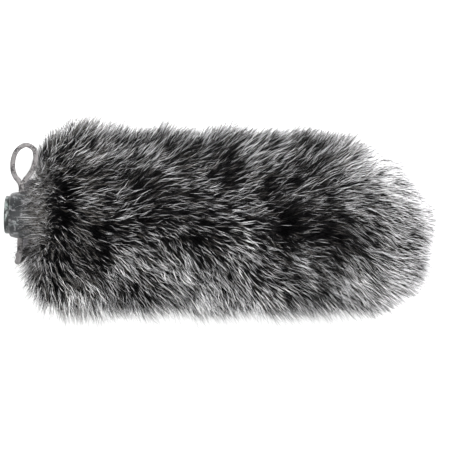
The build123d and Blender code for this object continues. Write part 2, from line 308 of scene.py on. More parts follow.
# Room that hair keeps from the hard parts
LOCK_ROOM = lock_radius + 0.8 * MM  # a radius round the cord lock's axis
LOCK_END_ROOM = 0.8 * MM
CASING_ROOM = 0.9 * MM
FLOOR_ROOM = 0.25 * MM
PRESSED = 7.0 * MM  # the height above the floor below which the pile is pressed

# A kind of hair: its segments, how far it closes on its tuft's tip, its wave, its first lean as a share of
# the whole lean, and how much tufts differ in direction, in degrees
Kind = namedtuple("Kind", "segments closing wave upright spread")
GUARD = Kind(4, 0.22, 0.068, 0.55, 11)
UNDERFUR = Kind(3, 0.35, 0.06, 0.6, 16)
STRAY = Kind(6, 0.1, 0.05, 0.6, 18)
FRINGE = Kind(6, 0.3, 0.05, 0.6, 10)
TUFT_HAIRS = 16  # hairs to a tuft, on average


def rise(value, start, length):
    """0 up to the start, then rising to 1 over the length."""
    return np.clip((value - start) / length, 0, 1)


def step_at(value, start, softness):
    """A soft step from 0 to 1."""
    return 1 / (1 + np.exp(-(value - start) / softness))


def hump(distance, reach):
    """1 in the middle, fading to 0 over about the reach."""
    return np.exp(-((distance / reach) ** 2))


def fur_material():
    """Hairs that are near black at the root and silver, grey or brown towards the tip, by tone."""
    material = plain_material("fur", (0.3, 0.3, 0.3), 0.42, IOR=1.18, Specular_IOR_Level=0.15)
    n = Nodes(material)
    uv = n.add("ShaderNodeUVMap", {"uv_map": HAIR_UV}).outputs["UV"]
    across, along = n.add("ShaderNodeSeparateXYZ", Vector=uv).outputs[0:2]
    tone = n.math("DIVIDE", n.math("FLOOR", n.math("MULTIPLY", across, float(TONES))), float(TONES))
    light_from = n.span(tone, 0.0, 1.0, 0.54, 0.84, smooth=False)
    light_to = n.math("ADD", light_from, 0.18)
    tip = n.add("ShaderNodeValToRGB")
    elements = tip.color_ramp.elements
    for element, (position, colour) in zip(elements, (TIP_COLOURS[0], TIP_COLOURS[-1])):
        element.position, element.color = position, (*colour, 1)
    for position, colour in TIP_COLOURS[1:-1]:
        elements.new(position).color = (*colour, 1)
    n.put(tip, "Fac", tone)
    share = n.span(along, light_from, light_to)
    n.colour(n.mix(share, ROOT_COLOUR, tip.outputs["Color"]))
    return material


def smooth_noise(points, scale, seed, waves=7):
    """A smooth field from about -1 to 1 over points, with features of about the given size."""
    rng = np.random.default_rng(seed)
    total = np.zeros(len(points))
    for _ in range(waves):
        direction = rng.normal(size=3)
        direction /= np.linalg.norm(direction)
        length = scale * rng.uniform(0.7, 1.5)
        total += np.sin(points @ direction * (2 * math.pi / length) + rng.uniform(0, 2 * math.pi))
    return total / math.sqrt(waves / 2) / 1.5


def unit(vectors):
    """The vectors made one long."""
    return vectors / np.maximum(np.linalg.norm(vectors, axis=-1, keepdims=True), 1e-12)


def skin_profile():
    """The cover's outline from the casing to the nose's tip: each short step's middle, run and length."""
    turn = np.linspace(math.pi, math.pi / 2, 60)
    reach_x, reach_r = body_low.x - base_low.x, skin_radius - SHOULDER_RADIUS
    shoulder = np.stack([body_low.x + reach_x * np.cos(turn), SHOULDER_RADIUS + reach_r * np.sin(turn)], 1)
    shoulder = shoulder[shoulder[:, 1] > casing_high.z + 0.4 * MM]
    straight = np.stack([np.linspace(body_low.x, body_high.x, 200), np.full(200, skin_radius)], 1)
    turn = np.linspace(math.pi / 2, 0.0, 120)
    nose = np.stack([body_high.x + (nose_high.x - body_high.x) * np.cos(turn), skin_radius * np.sin(turn)], 1)
    outline = np.concatenate([shoulder[:-1], straight, nose[1:]])
    step = np.diff(outline, axis=0)
    middle = (outline[1:] + outline[:-1]) / 2
    return middle, step, np.linalg.norm(step, axis=1)


def scatter(count, seed):
    """Even places on the cover's skin: each point, its outward normal, and its direction towards the nose.

    Only a share of the places underneath, where the pile is pressed on the floor, is kept.
    """
    middle, step, lengths = skin_profile()
    area = np.cumsum(lengths * middle[:, 1])
    area /= area[-1]
    index = np.arange(count) + 1000 * seed
    along = (index * STEP_ALONG) % 1
    turn = (index * STEP_ROUND) % 1 * 2 * math.pi
    where = np.searchsorted(area, along)
    before = np.concatenate([[0], area])[where]
    share = (along - before) / np.maximum(area[where] - before, 1e-12)
    spot = middle[where] + (share[:, None] - 0.5) * step[where]
    tangent = step[where] / lengths[where][:, None]
    out = np.stack([np.zeros(count), np.sin(turn), np.cos(turn)], 1)
    x_axis = np.array([1.0, 0.0, 0.0])
    points = spot[:, :1] * x_axis + spot[:, 1:] * out
    forward = tangent[:, :1] * x_axis + tangent[:, 1:] * out
    normal = -tangent[:, 1:] * x_axis + tangent[:, :1] * out
    rng = np.random.default_rng(seed)
    under = points[:, 2] < floor_z * 0.55
    keep = ~under | (rng.random(count) < KEPT_BELOW)
    return points[keep], normal[keep], forward[keep]


def turn_of(points, shift=0.0):
    """Each point's angle round the axis, from the top of the cover towards +Y."""
    return np.arctan2(points[:, 1] + shift, points[:, 2])


def lean_angle(points):
    """How far the pile leans from upright towards the nose, in radians."""
    top, upper, sides = (np.interp(points[:, 0], LEAN_AT, lean) for lean in (TOP_LEAN, UPPER_LEAN, SIDE_LEAN))
    turn = turn_of(points)
    top = top + (upper - top) * rise(turn, 0, math.radians(16))
    edge = np.where(turn > 0, math.radians(50), math.radians(22))
    share = rise(np.abs(turn), edge, np.where(turn > 0, math.radians(28), math.radians(45)))
    return np.radians(top + (sides - top) * share)


def clear_of_hard_parts(points):
    """Moves hairs' points out of the cord lock's whole travel, out of the casing, and above the floor."""
    x, y, z = points[..., 0], points[..., 1], points[..., 2]
    # The cord lock is a cylinder along X that slides along Y. Hairs behind it rise before they pass over it
    nearest_y = np.clip(y, lock_y + slide_low, lock_y + slide_high)
    away = np.stack([y - nearest_y, z - lock_z], -1)
    distance = np.linalg.norm(away, axis=-1)
    within = distance < LOCK_ROOM
    risen = np.logical_or.accumulate(~within, axis=1)
    risen = np.concatenate([np.zeros_like(risen[:, :1]), risen[:, :-1]], axis=1)
    x = np.where(risen, x, np.maximum(x, lock_high.x + LOCK_END_ROOM))
    inside = risen & within & (x < lock_high.x + 4 * MM) & (x > button_low.x - 1.0 * MM)
    push = away / np.maximum(distance, 1e-9)[..., None] * LOCK_ROOM
    y = np.where(inside, nearest_y + push[..., 0], y)
    z = np.where(inside, lock_z + push[..., 1], z)
    # The casing and the microphone's way in
    radius = np.sqrt(y * y + z * z)
    kept_out = casing_high.z + CASING_ROOM
    near = (x < base_low.x + 1.5 * MM) & (radius < kept_out)
    scale = np.where(near, kept_out / np.maximum(radius, 1e-9), 1.0)
    y, z = y * scale, z * scale
    # The floor presses the pile flat
    knee = floor_z + PRESSED
    depth = np.maximum(knee - z, 0.0)
    room = knee - floor_z - FLOOR_ROOM
    z = np.where(z < knee, knee - room * (1 - np.exp(-depth / room)), z)
    return np.stack([x, y, z], -1)


def within_room(line, roots):
    """Hairs shortened so that none stands out of the object's room."""
    along = line - roots
    room = np.where(along > 0, room_high - roots, roots - room_low)
    share = (np.abs(along) / np.maximum(room, 1e-9)).max(axis=(1, 2))
    return roots + along / np.maximum(share, 1.0)[:, None, None]


def tufts(points, rng):
    """Hairs chosen as the middles of tufts, and for each hair the nearest tuft's number."""
    count = max(60, int(len(points) / TUFT_HAIRS))
    centres = rng.choice(len(points), count, replace=False)
    tree = KDTree(count)
    for i, centre in enumerate(centres):
        tree.insert(points[centre], i)
    tree.balance()
    return centres, np.array([tree.find(point)[1] for point in points])


def hair_directions(points, normal, forward, rng, kind, tuft, tuft_count):
    """The directions in which each hair starts and ends."""
    count = len(points)
    side = np.cross(normal, forward)
    lean = lean_angle(points) + np.radians(13) * smooth_noise(points, 30 * MM, 11)
    on_base = rise(-points[:, 0], -body_low.x, 6 * MM)
    beside_loop = on_base * step_at(points[:, 1], LOOP_SIDE, 2 * MM)
    below_loop = on_base * step_at(-points[:, 1], 15 * MM, 2 * MM)
    over_collar = on_base * (rng.random(count) < 0.35) * (points[:, 2] > 0) * (np.abs(points[:, 1]) < 17 * MM)
    lean = lean + np.radians(38) * beside_loop + np.radians(14) * below_loop - np.radians(34) * over_collar
    # The coat parts along its top, and less towards the nose
    turn = turn_of(points)
    parting = np.where(turn > 0, 12.0, 26.0) * np.tanh(turn / 0.22) * hump(turn, 1.25) * (1 - on_base)
    parting = parting * rise(-points[:, 0], -165 * MM, 60 * MM)
    tuft_lean = rng.normal(0, np.radians(kind.spread), tuft_count)[tuft]
    tuft_yaw = rng.normal(0, np.radians(kind.spread * 1.1), tuft_count)[tuft]
    yaw_field = np.radians(16) * smooth_noise(points, 42 * MM, 12)
    lean = lean + tuft_lean * 0.8 + rng.normal(0, np.radians(8), count)
    yaw = tuft_yaw + yaw_field + np.radians(parting) + rng.normal(0, np.radians(10), count)
    heading = np.cos(yaw)[:, None] * forward + np.sin(yaw)[:, None] * side
    first, last = lean * kind.upright, lean * 1.28 + np.radians(4)
    start = np.cos(first)[:, None] * normal + np.sin(first)[:, None] * heading
    end = np.cos(last)[:, None] * normal + np.sin(last)[:, None] * heading
    end += DROOP * rise(points[:, :1], *DROOPING)
    for centre_x, centre_y, reach in BARE_SPOTS:
        away = points - np.array([centre_x, centre_y, math.sqrt(skin_radius**2 - centre_y**2)])
        distance = np.linalg.norm(away, axis=1)[:, None]
        end += away / np.maximum(distance, 1e-9) * 0.8 * hump(distance, reach)
    return start, unit(end)


def grow(points, normal, forward, lengths, rng, kind, chosen=None):
    """Each hair's centreline, as an array of hair by segment + 1 by 3. Chosen directions replace its own."""
    count = len(points)
    centres, tuft = tufts(points, rng)
    own = hair_directions(points, normal, forward, rng, kind, tuft, len(centres))
    start, end = own if chosen is None else chosen
    t = np.linspace(0, 1, kind.segments + 1)[None, :, None]
    length = lengths[:, None, None]
    roots = points[:, None, :]
    line = roots + length * (start[:, None, :] * (t - t * t / 2) + end[:, None, :] * (t * t / 2))
    # Tufts close on one tip
    tuft_tip = line[centres][tuft][:, -1]
    pull = (tuft_tip - line[:, -1]) * (kind.closing * rng.uniform(0.55, 1.25, count))[:, None]
    line = line + pull[:, None, :] * t**1.6
    # A slight wave, different in each hair
    sway = unit(rng.normal(size=(count, 3)))
    phase = rng.uniform(0, 2 * math.pi, (count, 1, 1))
    rate = rng.uniform(0.5, 1.3, (count, 1, 1)) * 2 * math.pi
    line = line + sway[:, None, :] * (np.sin(rate * t + phase) - np.sin(phase)) * kind.wave * length * t
    return clear_of_hard_parts(within_room(line, roots))


def hair_faces(t):
    """One hair's triangles and their UV corners, for rings of points at the places t along it."""
    faces, face_uv = [], []
    side_u = 1.0 / HAIR_SIDES
    for i in range(len(t) - 2):
        for j in range(HAIR_SIDES):
            k = (j + 1) % HAIR_SIDES
            a, b = i * HAIR_SIDES + j, i * HAIR_SIDES + k
            c, d = a + HAIR_SIDES, b + HAIR_SIDES
            u, v = (j * side_u, (j + 1) * side_u), (t[i], t[i + 1])
            faces += [(a, b, d), (a, d, c)]
            face_uv.append(((u[0], v[0]), (u[1], v[0]), (u[1], v[1])))
            face_uv.append(((u[0], v[0]), (u[1], v[1]), (u[0], v[1])))
    last = (len(t) - 2) * HAIR_SIDES
    tip = last + HAIR_SIDES
    for j in range(HAIR_SIDES):
        faces.append((last + j, last + (j + 1) % HAIR_SIDES, tip))
        face_uv.append(((j * side_u, t[-2]), ((j + 1) * side_u, t[-2]), ((j + 0.5) * side_u, 1.0)))
    faces.append((0, 2, 1))
    face_uv.append(((0.0, 0.0), (1.0, 0.0), (0.5, 0.02)))
    return np.array(faces), np.array(face_uv)


def hair_mesh(name, lines, widths, tones):
    """One mesh of closed, tapering three-sided hairs along the lines."""
    count, rings = lines.shape[0], lines.shape[1]
    tangent = unit(np.gradient(lines, axis=1))
    rng = np.random.default_rng(len(name) + count)
    reference = unit(rng.normal(size=(count, 1, 3)))
    u = unit(np.cross(tangent, np.broadcast_to(reference, tangent.shape)))
    v = np.cross(tangent, u)
    t = np.linspace(0, 1, rings)
    taper = np.clip(1.0 - t, 0.0, 1.0) ** 0.55
    angles = (np.arange(HAIR_SIDES) * (2 * math.pi / HAIR_SIDES))[:, None]
    ring = u[:, :, None] * np.cos(angles) + v[:, :, None] * np.sin(angles)
    thickness = (widths[:, None] * taper[None, :-1])[:, :, None, None]
    sleeve = lines[:, :-1, None, :] + ring[:, :-1] * thickness / 2
    vertices = np.concatenate([sleeve.reshape(count, -1, 3), lines[:, -1:, :]], axis=1)
    faces, face_uv = hair_faces(t)
    first_vertex = np.arange(count) * vertices.shape[1]
    all_faces = faces[None] + first_vertex[:, None, None]
    mesh = mesh_of(name, vertices.reshape(-1, 3), all_faces.reshape(-1, 3))
    uv = np.broadcast_to(face_uv[None], (count, *face_uv.shape)).copy()
    margin = 0.08
    uv[..., 0] = (tones[:, None, None] + margin + uv[..., 0] * (1 - 2 * margin)) / TONES
    mesh.uv_layers.new(name=HAIR_UV).data.foreach_set("uv", uv.reshape(-1).astype(np.float32))
    return mesh


def lay_fur(kind, material, roots, lines, widths, tones):
    """Splits one kind of hair by panel, and each panel's into pieces of limited size."""
    x = roots[:, 0]
    region = np.where(x < body_low.x, 0, np.where(x > body_high.x, 2, 1))
    for index, (panel, node) in enumerate(REGIONS):
        mine = np.flatnonzero(region == index)
        mine = mine[np.argsort(x[mine], kind="stable")]
        parts = math.ceil(len(mine) / PIECE_HAIRS)
        for part, chosen in enumerate(np.array_split(mine, parts) if parts else []):
            name = f"{kind}_{panel}_{part + 1}"
            mesh = hair_mesh(name, lines[chosen], widths[chosen], tones[chosen])
            piece = new_object(name, mesh, "cover", material)
            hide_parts(node)


def tone_of(rng, count, points, lightness):
    """Each hair's tone, 0 the lightest, by chance, by a slow change over the cover, and by painted light and
    shade in places.
    """
    x, y = points[:, 0], points[:, 1]
    patch = smooth_noise(points, 26 * MM, 21) * 0.10
    # Hairs towards the nose are paler: partly their own tone, partly painted light on the nose end
    towards_nose = rise(x, PALER_FROM, nose_high.x - PALER_FROM) ** 1.5 * 0.39
    # Hairs on the -Y side, most near the collar, are painted lighter: painted light on that side of the cover
    painted_light_low_side = np.clip(-y / skin_radius, 0, 1) * (0.10 + 0.12 * np.clip(1 - x / (60 * MM), 0, 1))
    base = rng.uniform(0, 1, count)
    # Hairs along the top of the cover are painted darker: painted shade where the view looks down into the
    # coat
    shift = 0.04 + 0.07 * hump(turn_of(points, 2 * MM), 0.6)
    # The hairs round each hollow are painted darker: painted shade in the hollows
    for centre_x, centre_y, reach in BARE_SPOTS:
        shift = shift + 0.25 * hump(np.hypot(x - centre_x, y - centre_y), reach) * (points[:, 2] > 0)
    for centre_x, centre_y, reach, darker in TONE_PATCHES:
        shift = shift + darker * hump(np.hypot(x - centre_x, y - centre_y), reach)
    lightest = 0.13 * rise(x, *SOFTER)
    value = np.clip(base + patch + shift - towards_nose - painted_light_low_side - lightness + 0.082, lightest, 0.999)
    brown = (x < 16 * MM) & (rng.random(count) < BROWN_SHARE)
    value = np.where(brown, rng.uniform(*BROWN_TONES, count), value)
    return np.floor(value * TONES)


def nose_share(points):
    """0 on the body panel, rising to 1 at the nose's tip."""
    return rise(points[:, 0], body_high.x, nose_high.x - body_high.x)


def guard_lengths(points, rng):
    """Long hairs, shorter on the nose, at the collar, behind the lock and beside the loop."""
    y = points[:, 1]
    swell = smooth_noise(points, 29 * MM, 13)
    nose_short = 1 - (0.22 - 0.34 * np.clip(-y / skin_radius, -0.6, 1)) * nose_share(points)
    beside_loop = step_at(y, LOOP_SIDE, 3 * MM)
    near_lock = hump(y - lock_y, 14 * MM) * (points[:, 2] > 0)
    on_base = rise(-points[:, 0], -4 * MM, 7 * MM)
    low_corner = on_base * rise(-y, 14 * MM, 8 * MM)
    inner = rise(-np.hypot(y, points[:, 2]), -skin_radius, 9 * MM)
    base_short = 1 - on_base * (0.06 + 0.34 * beside_loop * inner + 0.26 * near_lock) - 0.06 * low_corner
    upper_long = 1 + 0.18 * np.clip(y / skin_radius, 0, 1)
    own = rng.uniform(0.62, 1.20, len(points))
    return MM * (22.0 + 3.6 * swell) * own * nose_short * base_short * upper_long


def make_guard_hair(material):
    """The hairs that show, finer and closer together towards the nose."""
    all_over, extra = scatter(82000, 1), scatter(46000, 5)
    denser = extra[0][:, 0] > DENSER_FROM
    points, normal, forward = (np.concatenate([a, b[denser]]) for a, b in zip(all_over, extra))
    rng = np.random.default_rng(101)
    count = len(points)
    lines = grow(points, normal, forward, guard_lengths(points, rng), rng, GUARD)
    tones = tone_of(rng, count, points, 0.0)
    finer = 1 - 0.36 * rise(points[:, 0], *FINER)
    light = np.clip(1 - tones / (0.45 * TONES), 0, 1)
    widths = MM * (rng.uniform(0.17, 0.25, count) + 0.19 * light) * finer
    lay_fur("guard_hair", material, points, lines, widths, tones)


def make_underfur(material):
    """Shorter, thicker and darker hairs under the guard hairs."""
    points, normal, forward = scatter(32000, 2)
    rng = np.random.default_rng(102)
    count = len(points)
    lengths = MM * rng.uniform(9.0, 15.0, count)
    lines = grow(points, normal, forward, lengths, rng, UNDERFUR)
    widths = MM * rng.uniform(0.36, 0.58, count)
    tones = np.clip(tone_of(rng, count, points, 0.0) + TONES // 3, 0, TONES - 1)
    lay_fur("underfur", material, points, lines, widths, tones)


def make_stray_hair(material):
    """A few longer, thinner and freer hairs."""
    points, normal, forward = scatter(6500, 3)
    rng = np.random.default_rng(103)
    count = len(points)
    near_collar = np.where(points[:, 0] < 14 * MM, 0.65, 1.0)
    lengths = MM * rng.uniform(19.0, 27.0, count) * near_collar * (1 - 0.25 * nose_share(points))
    lines = grow(points, normal, forward, lengths, rng, STRAY)
    widths = MM * rng.uniform(0.11, 0.18, count)
    lay_fur("stray_hair", material, points, lines, widths, tone_of(rng, count, points, -0.1))


def height_over_lock(y):
    """How high a hair has to be to pass over the cord lock's whole travel, falling off beside it."""
    beside = np.abs(y - np.clip(y, lock_y + slide_low, lock_y + slide_high))
    return lock_z + np.sqrt(np.maximum(LOCK_ROOM**2 - beside**2, 0)) - np.clip(beside - LOCK_ROOM, 0, 8 * MM)


def make_fringe(material):
    """Hairs beside the collar that hang over the cord lock and its strands, each by way of a knee over it."""
    points, normal, forward = scatter(105000, 4)
    beside = points[:, 1] - lock_y
    chosen = (points[:, 0] < 9 * MM) & (points[:, 2] > 8 * MM) & (beside > -27 * MM) & (beside < 25 * MM)
    points, normal, forward = points[chosen], normal[chosen], forward[chosen]
    rng = np.random.default_rng(104)
    count = len(points)
    tuft = smooth_noise(points, 9 * MM, 41)
    over = points[:, 1] + MM * (2.0 * tuft + rng.normal(0, 1.2, count))
    knee_x = points[:, 0] * 0.5 + MM * rng.uniform(-5.0, 1.0, count)
    knee = np.stack([knee_x, over, height_over_lock(over) + MM * rng.uniform(2.5, 6.0, count)], -1)
    hang = over + MM * (4.0 * tuft - 2.5 + rng.normal(0, 2.6, count))
    reach = MM * rng.uniform(1.0, 15.0, count) * (1 - 0.4 * np.clip(np.abs(over - lock_y) / (26 * MM), 0, 1))
    tip = np.stack([knee_x - reach, hang, height_over_lock(hang) + MM * rng.uniform(0.3, 2.5, count)], -1)
    lengths = np.linalg.norm(knee - points, axis=1) + np.linalg.norm(tip - knee, axis=1)
    directions = [2 * run / lengths[:, None] for run in (knee - points, tip - knee)]
    lines = grow(points, normal, forward, lengths, rng, FRINGE, directions)
    widths = MM * rng.uniform(0.14, 0.24, count)
    brown = rng.random(count) < BROWN_SHARE
    tones = np.where(brown, rng.uniform(0.35, 0.42, count), rng.uniform(0.22, 1.0, count)) * TONES
    lay_fur("fringe_hair", material, points, lines, widths, np.floor(np.clip(tones, 0, TONES - 1)))


def make_fur():
    """The whole coat, in one material."""
    material = fur_material()
    make_guard_hair(material)
    make_underfur(material)
    make_stray_hair(material)
    make_fringe(material)


# ---------------------------------------------------------------- meshes by numbers


def mesh_of(name, vertices, faces):
    """A mesh from an array of vertices and an array of faces with the same number of corners each."""
    vertices, faces = np.asarray(vertices, np.float32), np.asarray(faces, np.int32)
    mesh = bpy.data.meshes.new(name)
    mesh.vertices.add(len(vertices))
    mesh.vertices.foreach_set("co", vertices.reshape(-1))
    mesh.loops.add(faces.size)
    mesh.loops.foreach_set("vertex_index", faces.reshape(-1))
    mesh.polygons.add(len(faces))
    mesh.polygons.foreach_set("loop_start", np.arange(len(faces), dtype=np.int32) * faces.shape[1])
    mesh.update(calc_edges=True)
    return mesh


def cover_piece(name, shape, material, node):
    """A piece of the cover, from a shape's vertices and faces, that stands for a CAD node."""
    piece = new_object(name, mesh_of(name, *shape), "cover", material)
    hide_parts(node)
    return piece


def grid_faces(rows, columns, rows_closed, columns_closed):
    """Quads over a grid of vertices, joined round in either direction where it is closed."""
    i = np.arange(rows if rows_closed else rows - 1)
    j = np.arange(columns if columns_closed else columns - 1)
    i, j = np.meshgrid(i, j, indexing="ij")
    k, m = (i + 1) % rows, (j + 1) % columns
    return np.stack([i * columns + j, k * columns + j, k * columns + m, i * columns + m], -1).reshape(-1, 4)


def tubes(lines, radius, sides, flat=1.0, ups=None):
    """Tubes with closing ends along lines of the same number of points: vertices and quads.

    Flat squeezes each tube along its up.
    """
    count, rings = lines.shape[0], lines.shape[1]
    tangent = unit(np.gradient(lines, axis=1))
    if ups is None:
        ups = np.broadcast_to(np.array([0.3, 0.5, 0.81]), lines.shape)
    side = unit(np.cross(tangent, ups))
    up = np.cross(side, tangent)
    angles = np.arange(sides) * (2 * math.pi / sides)
    ring = side[:, :, None] * np.cos(angles)[None, None, :, None]
    ring = ring + up[:, :, None] * (np.sin(angles) * flat)[None, None, :, None]
    size = np.ones(rings)
    size[0] = size[-1] = 0.02
    size[1] = size[-2] = 0.75
    vertices = lines[:, :, None] + ring * radius * size[None, :, None, None]
    faces = grid_faces(rings, sides, False, True)
    faces = faces[None] + (np.arange(count) * rings * sides)[:, None, None]
    return vertices.reshape(-1, 3), faces.reshape(-1, 4)


def round_axis(x, radius, turn):
    """Points at a turn round the axis, in radians from +Z towards -Y."""
    return np.stack([x, -radius * np.sin(turn), radius * np.cos(turn)], -1)


def revolved(profile, steps, change=None):
    """A closed profile of (x, radius) revolved round X: vertices and quads. Change moves the x and radius."""
    profile = np.asarray(profile)
    angle = np.arange(steps) * (2 * math.pi / steps)
    x = np.repeat(profile[:, :1], steps, 1)
    r = np.repeat(profile[:, 1:], steps, 1)
    a = np.repeat(angle[None], len(profile), 0)
    if change is not None:
        x, r = change(x, r, a)
    return round_axis(x, r, a).reshape(-1, 3), grid_faces(len(profile), steps, True, True)[:, ::-1]


def stretch(corners, spacing):
    """Points along a closed run of corners, evenly spaced."""
    corners = np.asarray(corners, float)
    points = []
    for a, b in zip(corners, np.roll(corners, -1, axis=0)):
        n = max(1, int(round(np.linalg.norm(b - a) / spacing)))
        points += [a + (b - a) * k / n for k in range(n)]
    return np.array(points)


def arc_points(centre, semi_x, semi_r, start, end, count):
    """Points of (x, radius) along an ellipse's arc, between angles in degrees."""
    turn = np.radians(np.linspace(start, end, count))
    return np.stack([centre[0] + semi_x * np.cos(turn), centre[1] + semi_r * np.sin(turn)], 1)


# ---------------------------------------------------------------- braided cord

CARRIERS = 8  # strands in each direction round the braid
BRAID_PITCH = 10.5 * MM
STRAND_WIDTH = 0.48 * MM
STRAND_FLAT = 0.55


def curve_line(name, route):
    """The points of a smooth NURBS spline that has the route for its control points."""
    data = bpy.data.curves.new(name, "CURVE")
    data.dimensions = "3D"
    data.resolution_u = 24
    spline = data.splines.new("NURBS")
    spline.points.add(len(route) - 1)
    for point, place in zip(spline.points, route):
        point.co = (*place, 1)
    spline.order_u = 3
    spline.use_endpoint_u = True
    curve = bpy.data.objects.new(name, data)
    line_mesh = bpy.data.meshes.new_from_object(curve)
    line = np.array([vertex.co[:] for vertex in line_mesh.vertices])
    bpy.data.objects.remove(curve)
    bpy.data.curves.remove(data)
    bpy.data.meshes.remove(line_mesh)
    return line


def even_line(line, spacing):
    """The same line with evenly spaced points."""
    step = np.linalg.norm(np.diff(line, axis=0), axis=1)
    keep = np.concatenate([[True], step > 1e-7])
    line = line[keep]
    along = np.concatenate([[0], np.cumsum(np.linalg.norm(np.diff(line, axis=0), axis=1))])
    at = np.linspace(0, along[-1], int(along[-1] / spacing) + 1)
    return np.stack([np.interp(at, along, line[:, k]) for k in range(3)], 1), at


def braid(name, line, materials, node):
    """A round braid along a line: strands both ways, each passing over and under the others, round a core."""
    line, at = even_line(line, 0.35 * MM)
    tangent = unit(np.gradient(line, axis=0))
    across = np.zeros_like(line)
    across[0] = unit(np.cross(tangent[0], (0.2, 0.3, 0.93)))
    for i in range(1, len(line)):
        carried = across[i - 1] - tangent[i] * np.dot(across[i - 1], tangent[i])
        across[i] = carried / np.linalg.norm(carried)
    other = np.cross(tangent, across)
    turn = 2 * math.pi * at / BRAID_PITCH
    strand_thick = STRAND_WIDTH * STRAND_FLAT
    middle = CORD_DIAMETER / 2 - 2 * strand_thick
    all_lines, ups, tracer = [], [], []
    for way in (1, -1):
        for i in range(CARRIERS):
            angle = way * turn + 2 * math.pi * i / CARRIERS
            reach = middle + way * strand_thick * 0.9 * np.cos(CARRIERS * turn)
            out = across * np.cos(angle)[:, None] + other * np.sin(angle)[:, None]
            all_lines.append(line + out * reach[:, None])
            ups.append(out)
            tracer.append(i in (0, 1))
    all_lines, ups = np.array(all_lines), np.array(ups)
    vertices, faces = tubes(all_lines, STRAND_WIDTH, 6, STRAND_FLAT, ups)
    per_strand = len(faces) // len(all_lines)
    indices = np.repeat(np.array(tracer, int), per_strand)
    core_vertices, core_faces = tubes(line[None], middle - strand_thick * 0.6, 10)
    faces = np.concatenate([faces, core_faces + len(vertices)])
    indices = np.concatenate([indices, np.ones(len(core_faces), int)])
    vertices = np.concatenate([vertices, core_vertices])
    piece = cover_piece(name, (vertices, faces), materials[0], node)
    piece.data.materials.append(materials[1])
    piece.data.polygons.foreach_set("material_index", indices.astype(np.int32))
    return piece, line


def around(angle, radius, x):
    """The point at an angle in degrees, counted from +Z towards -Y, and a radius and x in millimetres."""
    turn = math.radians(angle)
    return (x * MM, -radius * math.sin(turn) * MM, radius * math.cos(turn) * MM)


# The cord's places, in millimetres and degrees: its ring in the casing and its two strands through the lock
RING_RADIUS = 17.5
RING_X = -12.0
RING_START = 69.402
RING_END = 14.598
FIRST_EXIT = 47.402
SECOND_EXIT = 36.598
STRAND_X = -16.45
UPPER = 34.65
LOWER = 31.35


def cord_route():
    """The pull loop's route. Extra points in each run through the lock keep the cord straight there."""
    turns_before = [(-12.9, -18.8, 18.4), (-19.0, -23.6, 26.6)]
    first_run = [(STRAND_X, y, UPPER) for y in (-19.8, -15.0, 12.0, 18.0)]
    loop = [
        (-20.8, 22.4, 34.0),
        (-21.8, 29.0, 32.6),
        (-20.2, 35.4, 31.0),
        (-14.9, 39.2, 29.8),
        (-9.9, 35.6, 29.0),
        (-10.0, 29.4, 29.2),
        (-12.2, 23.4, 30.2),
    ]
    second_run = [(STRAND_X, y, LOWER) for y in (18.4, 12.0, -14.0, -18.4)]
    turns_after = [(-18.8, -19.6, 25.8), (-12.9, -15.3, 19.4)]
    places = turns_before + first_run + loop + second_run + turns_after
    middle = [tuple(v * MM for v in place) for place in places]
    start = [around(angle, RING_RADIUS, RING_X) for angle in (RING_START, FIRST_EXIT)]
    end = [around(angle, RING_RADIUS, RING_X) for angle in (SECOND_EXIT, RING_END)]
    return start + middle + end


def make_cord():
    """The drawstring's free loop, and the rest of it inside the casing."""
    grey = cloth_material("cord_yarn", (0.098, 0.092, 0.092), 0.75, 900.0, 0.35)
    dark = cloth_material("cord_tracer", (0.016, 0.014, 0.015), 0.8, 900.0, 0.3)
    loop = curve_line("loop_line", cord_route())
    piece, line = braid("braided_pull_loop", loop, (grey, dark), "pull_loop")
    turn = np.linspace(RING_START, 360 + RING_END, 160)
    ring = np.array([around(a, RING_RADIUS, RING_X) for a in turn])
    braid("braided_drawstring", ring, (grey, dark), "drawstring")


# ---------------------------------------------------------------- cloth, foam, plastic and metal

FLECK = 0.25  # how much lighter and darker than its mean a yarn is in places


def cloth_material(name, colour, roughness, scale, strength):
    """Yarn or cloth: fine uneven colour and a fine bump."""
    material = plain_material(name, colour, roughness, Sheen_Weight=0.25, Specular_IOR_Level=0.25)
    n = Nodes(material)
    fine = n.noise(scale, 2.0, 0.7)
    slow = n.noise(scale / 9, 3.0, 0.6)
    lighter = tuple(min(1.0, c * (1 + FLECK) + 0.01) for c in colour)
    darker = tuple(c * (1 - FLECK) for c in colour)
    base = n.mix(n.span(fine, 0.3, 0.7), darker, lighter)
    n.colour(n.mix(n.span(slow, 0.35, 0.75, 0.0, 0.55), base, tuple(c * 0.62 for c in colour)))
    n.bump(fine, strength, 0.0003)
    return material


def knit_material(name, colour, wale, course):
    """A knitted cloth: wales and courses round the axis and along it, as V-shaped stitches, with painted
    shade in the stitches' low parts and painted light on their raised parts.
    """
    material = plain_material(name, colour, 0.85, Sheen_Weight=0.2, Specular_IOR_Level=0.2)
    n = Nodes(material)
    x, y, z = n.add("ShaderNodeSeparateXYZ", Vector=n.place()).outputs
    angle = n.math("ARCTAN2", y, z)
    column = n.math("MULTIPLY", angle, float(wale))
    lean = n.math("MULTIPLY", n.math("PINGPONG", column, 1.0), 0.9)
    row = n.math("ADD", n.math("DIVIDE", x, course), lean)
    rows = n.math("SINE", n.math("MULTIPLY", row, 2 * math.pi))
    columns = n.math("SINE", n.math("MULTIPLY", column, math.pi))
    height = n.math("ADD", n.math("MULTIPLY", rows, 0.5), n.math("ABSOLUTE", columns))
    fuzz = n.noise(1400.0, 2.0, 0.7)
    height = n.math("ADD", height, n.math("MULTIPLY", fuzz, 0.8))
    # Painted shade where the stitches lie low and painted light where they stand up, from the same height as
    # the bump
    painted_stitch_shade = n.span(height, 0.1, 1.6)
    n.colour(n.mix(painted_stitch_shade, tuple(c * 0.5 for c in colour), tuple(min(1, c * 1.25) for c in colour)))
    n.bump(height, 0.55, 0.0004)
    return material


